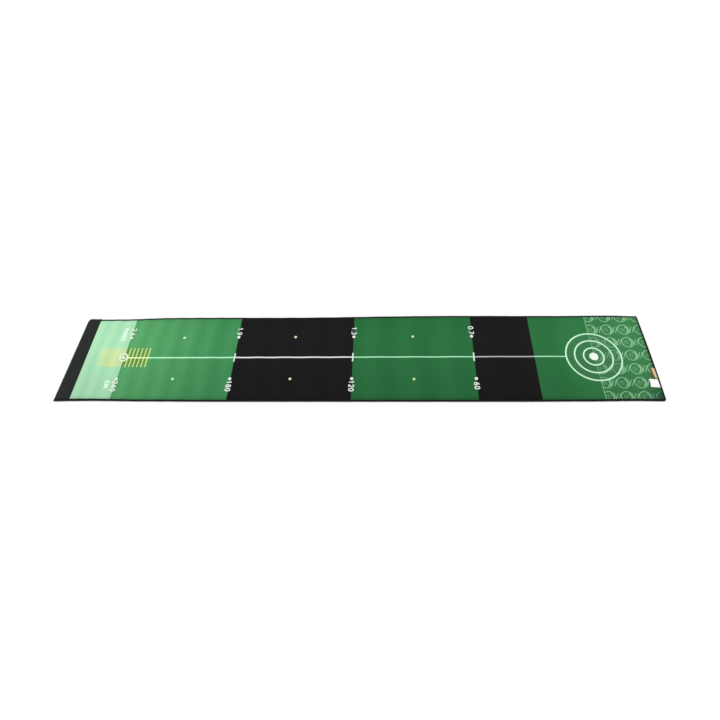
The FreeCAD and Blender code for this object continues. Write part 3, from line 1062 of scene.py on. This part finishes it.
def stroke(work, path, width, height=0.25 * MM, closed=False, rows=0):
    """A strip along a path: a low six-sided section whose corners each follow the cloth."""
    side = half_across(path, width, closed)
    soft = 1 - min(0.25, 0.5 * MM / float(np.min(width)))
    shoulder = height * 0.45
    share = np.array([-1, -1, -soft, soft, 1, 1])
    above = np.array([SUNK, shoulder, height, height, shoulder, SUNK])
    flat = path[:, None] + side[:, None] * share[:, None]
    z = cloth_top(flat[..., 0], flat[..., 1]) + above
    work.grid(np.concatenate([flat, z[..., None]], -1), ring=closed, rows=rows)


def spaced(points, step=4 * MM):
    """More points along straight legs, so that a stroke can follow the waves."""
    points = np.asarray(points, float)
    legs = []
    for a, b in zip(points[:-1], points[1:]):
        count = max(int(np.linalg.norm(b - a) / step), 1)
        legs.append(line(a, b, count))
    return np.concatenate(legs + [points[-1:]])


def disc(work, x, y, radius, height=0.3 * MM, count=28):
    """A round spot: rings about its centre, closed by a pole above and one below."""
    angle = np.linspace(0, 2 * np.pi, count, endpoint=False)
    share = np.array([0.0, 0.5, 0.92, 1.0, 1.0, 0.0]) * radius
    above = np.array([height, height, height, height * 0.45, SUNK, SUNK])
    flat_x = x + np.cos(angle)[:, None] * share
    flat_y = y + np.sin(angle)[:, None] * share
    z = cloth_top(flat_x, flat_y) + above
    work.grid(np.stack([flat_x, flat_y, z], -1), ring=True)


def circle(x, y, radius, count=96):
    """A closed circular path."""
    return arc(x, y, radius, 0, 360, count + 1)[:-1]


# %% [markdown]
# Ink over velvet keeps the pile, so each print colour is the same velvet in another colour. The
# long line lies on green and on black in turn, and shows a little of what is under it.


def printed(work, name, finish):
    """Makes a printed mark into a piece on the mat."""
    work.piece(name, finish, slot="printed_velvet")


def plain_print(name, colour, shade_share=0.15):
    """One flat ink on velvet."""
    f = velvet(name)
    ink = f.mix(f.noise(f.place, 180.0, 2.0).between(-1, 1), colour, tuple(c * 0.93 for c in colour))
    return pile(f, ink, 0.35, shade_share)


def line_print():
    """White ink, tinted by the panel that it crosses, and yellow inside the gate."""
    f = velvet("line print")
    over_target = paint(174, 234, 190)
    colour = steps(f, (paint(240, 250, 225), paint(188, 252, 206), paint(236, 239, 236), paint(176, 234, 191),
                       paint(180, 187, 182), over_target, over_target))
    in_gate = 1 - f.along().between(405, 425)
    return pile(f, f.mix(in_gate, colour, paint(238, 260, 190)), 0.35, 0.3)


def wash_line():
    """Pale yellow ink that fades into the mint away from the ring."""
    f = velvet("wash print")
    fade = (f.along() + f.beside() * 0.2).between(185, 250)
    return pile(f, f.mix(fade, paint(182, 238, 190), paint(208, 235, 168)), 0.5, 0.8)


def warm_ink():
    """Cream ink, greener over the green panels."""
    f = velvet("half way print")
    over_green = paint(208, 248, 196)
    colour = steps(f, (over_green, over_green, paint(240, 226, 192), paint(206, 232, 158)))
    return pile(f, colour, 0.35, 0.3)


# %% [markdown]
# ## Centre line, start mark and gate
# The long line aims the putt. It starts in a ring with a spot, where the ball is placed, and
# twelve short lines beside it form a gate for the club's swing. Three cross ticks mark
# where the panels change.

# %% Line, ticks, gate and start ring
work = Work()
x = np.linspace(along(299), along(2578), 457)
wander = 0.3 * MM * np.sin(2 * np.pi * turns(x)) * ease((x - along(600)) / 0.3)
narrowing = np.linspace(8.1 * MM, 6.8 * MM, len(x))[:, None]
stroke(work, np.stack([x, MIDDLE + wander], -1), narrowing, rows=8)
printed(work, "centre_line", line_print())


def bars(name, places, sides, width, height, finish):
    """Straight bars across the mat, at so many millimetres along it, between two more across it."""
    work = Work()
    for place in places:
        stroke(work, spaced([(along(place), across(side)) for side in sides]), width, height)
    printed(work, name, finish)


tick_white = plain_print("tick print", paint(232, 248, 236))
gate_yellow = plain_print("gate print", paint(200, 242, 156))
bars("cross_ticks", (868, 1488, 2111), (225, 275), 7 * MM, 0.32 * MM, tick_white)
RING_X, RING_Y = along(274.5), across(251.5)
GATE_X, GATE_STEP = 276.5, 21.2
away = GATE_STEP * np.arange(1, 7)
bars("gate_lines", GATE_X + away, (194, 310), 6.6 * MM, 0.2 * MM, gate_yellow)
bars("back_gate_lines", GATE_X - away, (196, 308), 6.0 * MM, 0.2 * MM, wash_line())

work = Work()
start_oval = circle(0, 0, 19.3 * MM, 48) * [0.95, 1.1] + [RING_X, RING_Y]
stroke(work, start_oval, 7.4 * MM, 0.36 * MM, closed=True)
disc(work, RING_X - 2.5 * MM, RING_Y, 10.2 * MM, 0.36 * MM)
printed(work, "start_ring", plain_print("start print", paint(250, 262, 228)))
work = Work()
disc(work, RING_X, RING_Y, 18 * MM, 0.28 * MM, 40)
printed(work, "start_ground", plain_print("start ground print", paint(160, 178, 130)))

# %% [markdown]
# ## Spots
# Pairs of spots either side of the line divide the distance: a white one beside each figure, and
# smaller ones half way along a panel, in a warmer ink that lets the panel's colour through.

# %% Distance spots
work = Work()
for place, sides in ((570, (375, 124.5)), (1175, (376, 123.5)), (1801, (375, 121))):
    for side in sides:
        disc(work, along(place), across(side), 7.2 * MM)
printed(work, "half_way_spots", warm_ink())
work = Work()
for place in (277, 867, 1488, 2111):
    for side in (376, 124):
        disc(work, along(place), across(side), 8.2 * MM)
printed(work, "distance_spots", plain_print("spot print", paint(250, 253, 244)))

# %% [markdown]
# ## Figures
# The figures give the distance to the target, in two units. They are drawn as a signwriter
# would, each from a few strokes of even width: arcs and straight legs in a box one unit
# high. They read from the far side to the near one, with their tops towards the target.

# %% Stroke figures


def joined(*parts):
    """Several runs of points as one path."""
    return np.concatenate([np.asarray(p, float).reshape(-1, 2) for p in parts])


SIX_TAIL = [(0.47, 0.93), (0.33, 0.85), (0.19, 0.70), (0.11, 0.52), (0.07, 0.31)]
GLYPHS = {
    "0": [oval(0.31, 0.5, 0.24, 0.43, 0, 360, 25)],
    "1": [[(0.14, 0.74), (0.36, 0.93), (0.36, 0.07)]],
    "2": [joined(oval(0.31, 0.67, 0.23, 0.26, 165, -38), [(0.08, 0.07), (0.57, 0.07)])],
    "3": [oval(0.29, 0.71, 0.21, 0.22, 150, -90), oval(0.29, 0.28, 0.25, 0.21, 90, -150)],
    "4": [[(0.43, 0.07), (0.43, 0.93), (0.06, 0.32), (0.59, 0.32)]],
    "6": [oval(0.31, 0.31, 0.24, 0.24, 0, 360, 25), SIX_TAIL],
    "7": [[(0.06, 0.93), (0.57, 0.93), (0.24, 0.07)]],
    "8": [oval(0.31, 0.71, 0.2, 0.21, 0, 360, 25), oval(0.31, 0.28, 0.24, 0.22, 0, 360, 25)],
    "9": [oval(0.31, 0.69, 0.24, 0.24, 0, 360, 25), [(0.62 - a, 1 - b) for a, b in SIX_TAIL]],
    ".": [[(0.07, 0.07), (0.16, 0.07)]],
    "C": [oval(0.33, 0.5, 0.26, 0.43, 48, 312)],
    "M": [[(0.07, 0.07), (0.07, 0.93), (0.36, 0.36), (0.65, 0.93), (0.65, 0.07)]],
    "Y": [[(0.04, 0.93), (0.31, 0.48), (0.58, 0.93)], [(0.31, 0.48), (0.31, 0.07)]],
    "A": [[(0.04, 0.07), (0.31, 0.93), (0.58, 0.07)], [(0.14, 0.34), (0.48, 0.34)]],
    "R": [joined([(0.09, 0.07), (0.09, 0.93)], oval(0.32, 0.71, 0.22, 0.22, 90, -90), [(0.09, 0.49)]),
          [(0.32, 0.49), (0.57, 0.07)]],
    "D": [joined([(0.09, 0.07), (0.09, 0.93)], oval(0.24, 0.5, 0.3, 0.43, 90, -90), [(0.09, 0.07)])],
    "S": [joined(oval(0.31, 0.7, 0.22, 0.23, 40, 260), oval(0.31, 0.28, 0.24, 0.21, 80, -145))],
}
WIDTHS = {".": 0.26, "M": 0.74}   # 0.62 for the rest


def word(work, text, x, y, size, pen, advance):
    """Draws text centred on x and y: its own up is +X, and it reads towards -Y."""
    widths = [WIDTHS.get(c, 0.62) * advance * size for c in text]
    left = -sum(widths) / 2
    for letter, width in zip(text, widths):
        for leg in GLYPHS[letter]:
            leg = np.asarray(leg, float) * size
            path = np.stack([x + leg[:, 1] - size / 2, y - left - leg[:, 0]], -1)
            stroke(work, spaced(path, 3 * MM), pen, 0.26 * MM)
        left += width


figures = ((277, "240", "2.6"), (867, "180", "1.9"), (1488, "120", "1.3"), (2111, "60", "0.7"))
work = Work()
for place, near_text, far_text in figures:
    word(work, near_text, along(place), across(82), 28 * MM, 4.9 * MM, 1.24)
    word(work, far_text, along(place), across(412), 28 * MM, 4.6 * MM, 1.2)
printed(work, "distance_figures", plain_print("figure print", paint(252, 255, 252)))

work = Work()
word(work, "CM", along(236), across(92), 25 * MM, 7.8 * MM, 1.26)
word(work, "YARDS", along(234), across(398), 25 * MM, 6.5 * MM, 1.14)
printed(work, "unit_words", plain_print("unit print", paint(232, 262, 240)))

# %% [markdown]
# ## Target
# The target is a spot in three rings. A ring could be a flat tube laid on the cloth, but then it
# would float over one wave and sink into the next. As a stroke along a closed circle, each of
# its corners asks the cloth for its own height.

# %% Target rings
work = Work()
for radius in (50.0, 94.0, 137.3):
    stroke(work, circle(TARGET_X, TARGET_Y, radius * MM), 7.8 * MM, 0.3 * MM, closed=True)
printed(work, "target_rings", plain_print("target print", paint(212, 255, 222)))
work = Work()
disc(work, TARGET_X, TARGET_Y, 22 * MM, 0.3 * MM, 40)
printed(work, "target_spot", plain_print("target spot print", paint(252, 262, 250)))

# %% [markdown]
# ## Ball pattern
# The last panel has an all-over pattern in a lighter green. Here it is a plain golf motif: a
# ball's outline with a crescent of shade on one side and a ring of dimples, and a pair of long
# slanting dashes between one ball and the next. The pattern is fainter and greyer inside the
# target's rings, so its finish changes there.

# %% Pattern strokes
PATTERN_START = along(2719)
MARGIN = 4 * MM       # the pattern's ink stops this far inside the mat's edges
BALL_STEP, ROW_STEP = 85, 78
INK = 0.16 * MM       # height of the pattern's strokes, lower than the rings that cross it


def kept(path, closed):
    """The longest stretch of a path that lies on the patterned panel."""
    inside = ((path[:, 0] > PATTERN_START) & (path[:, 0] < TARGET - MARGIN)
              & (path[:, 1] > NEAR + MARGIN) & (path[:, 1] < FAR - MARGIN))
    if inside.all():
        return path, closed
    if closed and inside.any():
        path = np.roll(path, -int(np.argmin(inside)), 0)
        inside = np.roll(inside, -int(np.argmin(inside)))
    edges = np.flatnonzero(np.diff(np.concatenate([[0], inside.astype(int), [0]])))
    runs = [(b - a, a, b) for a, b in zip(edges[::2], edges[1::2])]
    if not runs:
        return path[:0], False
    _, a, b = max(runs)
    return path[a:b], False


def ball(work, x, y):
    """One motif: outline, a crescent of shade on the target side, and seven dimples, six round one."""
    for path, width, closed in ((circle(x, y, 29 * MM, 40), 4.0 * MM, True),
                                (arc(x, y, 21 * MM, -66, 62, 16), 6.4 * MM, False)):
        path, closed = kept(path, closed)
        if len(path) > 3:
            stroke(work, path, width, INK, closed=closed)
    middle = np.array([[x - 6 * MM, y]])
    for dimple in np.concatenate([middle, arc(*middle[0], 9.5 * MM, 15, 315, 6)]):
        if len(kept(dimple[None], False)[0]):
            disc(work, *dimple, 2.3 * MM, INK, 8)


work = Work()
for row in range(-1, 7):
    for column in range(0, 4):
        x, y = along(2738 + BALL_STEP * column), across(22 + ROW_STEP * row)
        ball(work, x, y)
        for dash in (BALL_STEP / 2 - 7, BALL_STEP / 2 + 6):
            leg = [(x + (dash - 9) * MM, y - 19 * MM), (x + (dash + 9) * MM, y + 19 * MM)]
            path, _ = kept(spaced(leg), False)
            if len(path) > 3:
                stroke(work, path, 3.4 * MM, INK)
border = spaced([(PATTERN_START, NEAR + MARGIN), (PATTERN_START, FAR - MARGIN)])
stroke(work, border, 3.0 * MM, 0.12 * MM)


def pattern_finish():
    """Light green ink that fades towards the cloth's own green inside the rings, under the painted
    shade of the near target corner.
    """
    f = velvet("pattern print")
    in_rings = f.away_from(TARGET_X, TARGET_Y) < 140 * MM
    patchy = f.noise(f.place, 40.0, 2.0) * 0.15 + 0.85
    ink = f.mix(patchy, green_pattern, paint(154, 213, 166))
    # The near target corner gets the same painted shade as the cloth.
    return pile(f, shaded_corner(f, f.mix(in_rings * 0.5, ink, paint(94, 144, 112))), 0.5, 0.8)


printed(work, "ball_pattern", pattern_finish())

# %% [markdown]
# ## The tag
# A strip of tan leather is folded back on itself and both ends are caught in the end seam, which
# leaves a flat loop. Nobody presses it flat, so it springs open, more at its near end. The shade in
# the fold is painted on as a dark stripe. The section is the strip's middle line, moved half the
# leather's thickness each way, carried along Y.

# %% Leather tag
TAG_THICK = 1.0 * MM
TAG_SHORT = 2.4 * MM     # what the far end lacks, in width and in length


def tag_grid():
    """The loop at each Y: out along the bottom, round the fold, and back along the top."""
    y = np.linspace(tag_low.y, tag_high.y - TAG_SHORT, 31)
    open_more = ease((tag_high.y - y) / (tag_high.y - tag_low.y))
    rise = (tag_high.z - tag_low.z - TAG_THICK) * (0.9 + 0.55 * open_more)
    radius = rise / 2
    longest = tag_high.x - tag_low.x - TAG_THICK / 2
    t = np.linspace(0, 1, 10)
    turn = np.linspace(-np.pi / 2, np.pi / 2, 11)
    base = tag_low.z + TAG_THICK / 2
    rows = []
    for r, up, length in zip(radius, rise, longest - TAG_SHORT * (1 - open_more)):
        under_x = tag_high.x - (length - r) * t
        fold_x = tag_high.x - (length - r) - r * np.cos(turn)
        over_x = tag_high.x - (length - r) * (1 - t)
        by_seam = TAG_THICK + 0.1 * MM
        over_z = base + up + (by_seam - up) * ease((over_x - tag_high.x + 11 * MM) / (10 * MM))
        fold_z = base + r + r * np.sin(turn)
        rows.append(np.stack([np.concatenate([under_x[:-1], fold_x, over_x[1:]]),
                              np.concatenate([np.full(9, base), fold_z, over_z[1:]])], -1))
    middle = np.array(rows)
    ahead = np.gradient(middle, axis=1)
    ahead /= np.linalg.norm(ahead, axis=2)[..., None]
    normal = np.stack([ahead[..., 1], -ahead[..., 0]], -1)
    normal *= np.sign((normal * [0, 1])[:, -1:].sum(-1, keepdims=True))
    flat = both_sides(middle + normal * TAG_THICK / 2, middle - normal * TAG_THICK / 2)
    return np.stack([flat[..., 0], np.broadcast_to(y[:, None], flat.shape[:2]), flat[..., 1]], -1)


def leather_finish():
    """Grained tan leather with a stamped ring and dot near its far end, dark edges, and painted shade in the
    fold.
    """
    f = Finish("tan leather", Specular_IOR_Level=0.5, Coat_Weight=0.12, Coat_Roughness=0.35)
    cells = f.node("ShaderNodeTexVoronoi", {"feature": "SMOOTH_F1"}, {"Vector": f.place, "Scale": 900.0})
    grainy = f.noise(f.place, 260.0, 4.0)
    edge = 1 - (f.y - tag_low.y).between(0.0, 2.0 * MM) * (tag_high.y - f.y).between(0.0, 1.2 * MM)
    away = f.away_from((tag_low.x + tag_high.x) / 2, tag_high.y - 11 * MM)
    ring = away.between(4.2 * MM, 4.8 * MM) * (1 - away.between(5.4 * MM, 6.0 * MM))
    dot = 1 - away.between(1.6 * MM, 2.2 * MM)
    stamp = ring.math("MAXIMUM", dot)
    # Painted shade in the loop's fold: a dark stripe along its -X side, wider towards its near end.
    slant = (tag_high.y - f.y) * 0.07
    fold = 1 - (f.x - tag_low.x - slant).between(5.0 * MM, 7.2 * MM)
    dark = (stamp * 0.5).math("MAXIMUM", edge * 0.6).math("MAXIMUM", fold * 0.94)
    colour = f.mix(grainy.between(-1, 1), paint(222, 182, 128), paint(244, 208, 156))
    height = cells * 0.5 + grainy * 0.3 - stamp * 2.0
    return f.finish(f.mix(dark, colour, paint(54, 38, 12)), grainy * 0.08 + 0.42, height, 0.00012)


strip("leather_tag", tag_grid(), leather_finish(), body="tag", slot="tan_leather", stands_for=["edge_tag"])

# %% [markdown]
# ## The label
# A white satin ribbon folded in two, blank on its face. Its fold lies on the mat and has
# curled up, most at its two corners. Both layers come from one middle surface, a hair apart.

# %% Satin label


def label_grid():
    """The label's two layers: a middle surface, and layers just above and below it, joined at the fold."""
    v = np.linspace(0, 1, 25)[:, None]
    half = np.linspace(0, 1, 26)
    t = np.concatenate([half, half[-2::-1]])[None]
    side = np.concatenate([-np.ones(25), [0], np.ones(25)])[None]
    length = label_high.x - label_low.x
    bowed = 2.2 * MM * np.sin(np.pi * v) - 2.6 * MM * (1 - v)
    x = label_high.x - (length - bowed) * t
    y = label_low.y + 0.8 * MM + (label_high.y - label_low.y - 2.4 * MM) * v
    root = label_low.z + 0.2 * MM
    rest = CLOTH_TOP + 0.75 * MM
    z = root + (rest - root) * ease(t * 2.2)
    curl = ease((t - 0.35) / 0.65) ** 1.5
    z = z + curl * (2.0 + 1.0 * (1 - v) ** 2 + 1.6 * v ** 3) * MM
    z = z + 0.5 * MM * np.sin(np.pi * v) * ease(t * 3) * (1 - t)
    layers = []
    for apart in (0.2 * MM, 0.05 * MM):
        tip = np.where(side == 0, -apart, 0.0)
        layers.append(np.stack(np.broadcast_arrays(x + tip, y, z + side * apart), -1))
    return both_sides(*layers)


def satin_finish():
    """White satin: fine sines for its ribs and floats, and a hem down both sides."""
    f = Finish("label satin", Specular_IOR_Level=0.45, Sheen_Weight=0.15)
    ribs, floats = f.x.wave(0.6 * MM), f.y.wave(0.9 * MM)
    cloud = f.noise(f.place, 120.0, 3.0)
    hem = 1 - (f.y - label_low.y).between(0.0, 1.5 * MM) * (label_high.y - f.y).between(0.0, 1.5 * MM)
    colour = f.shade(f.mix(cloud.between(-1, 1), paint(254, 254, 253), paint(262, 261, 261)), 1 - hem * 0.05)
    return f.finish(colour, cloud * 0.05 + 0.4, ribs * 0.6 + floats * 0.4 + hem * 1.5, 0.00005)


satin_label = strip("satin_label", label_grid(), satin_finish(), body="label", slot="label_satin",
                    stands_for=["care_label"])

# %% [markdown]

# %% [markdown]
# ## Studio
# A plain pale floor that goes white in the light, an even white surround, and one broad lamp from
# behind and to the left, so that the waves show faintly. The camera is held at head height, almost
# a metre in front of the near edge, and looks down at the mat through a wide lens. The colours
# were chosen as they should look, so the view transform is the plain one.

# %% Floor, light and camera


def floor_finish():
    """An almost white floor, very slightly uneven."""
    f = Finish("studio floor", Specular_IOR_Level=0.2)
    faint = f.noise(f.place, 3.0, 2.0)
    pale = f.mix(faint.between(-1, 1), (0.92, 0.92, 0.92, 1.0), (0.94, 0.94, 0.94, 1.0))
    return f.finish(pale, faint * 0.02 + 0.9)


floor_mesh = bpy.data.meshes.new("floor")
reach = 60.0   # metres, so that its edge stays far off in low views
floor_mesh.from_pydata([(-reach, -reach, 0), (reach, -reach, 0), (reach, reach, 0), (-reach, reach, 0)], [],
                       [(0, 1, 2, 3)])
floor_mesh.materials.append(floor_finish())
floor = placed("floor", floor_mesh)

world = bpy.data.worlds.new("surround")
world.use_nodes = True
world.node_tree.nodes["Background"].inputs["Color"].default_value = (1.0, 1.0, 1.0, 1.0)
world.node_tree.nodes["Background"].inputs["Strength"].default_value = 0.72
bpy.context.scene.world = world

lamp_data = bpy.data.lights.new("broad lamp", "SUN")
lamp_data.energy = 1.7
lamp_data.angle = math.radians(28)
lamp = placed("broad lamp", lamp_data)
lamp.rotation_euler = (math.radians(-34), math.radians(-30), 0)

camera_data = bpy.data.cameras.new("camera")
camera_data.sensor_width = 36
camera_data.lens = 21.70
camera_data.shift_x = -0.02774
camera_data.shift_y = -0.01139
camera = placed("camera", camera_data)
camera.location = (0.2075, -1.1399, 1.9314 + TAPE_TOP)
camera.rotation_euler = [math.radians(a) for a in (31.253, 1.831, 0.854)]
bpy.context.scene.camera = camera
bpy.context.scene.view_settings.view_transform = "Standard"
bpy.context.scene.view_settings.look = "None"

# %% [markdown]
# ## Size
# The finished model fills the same room as the imported one, whose box is printed here.

# %% The imported box
print("cad   ", [round(v, 4) for v in (*cad_low, *cad_high)])
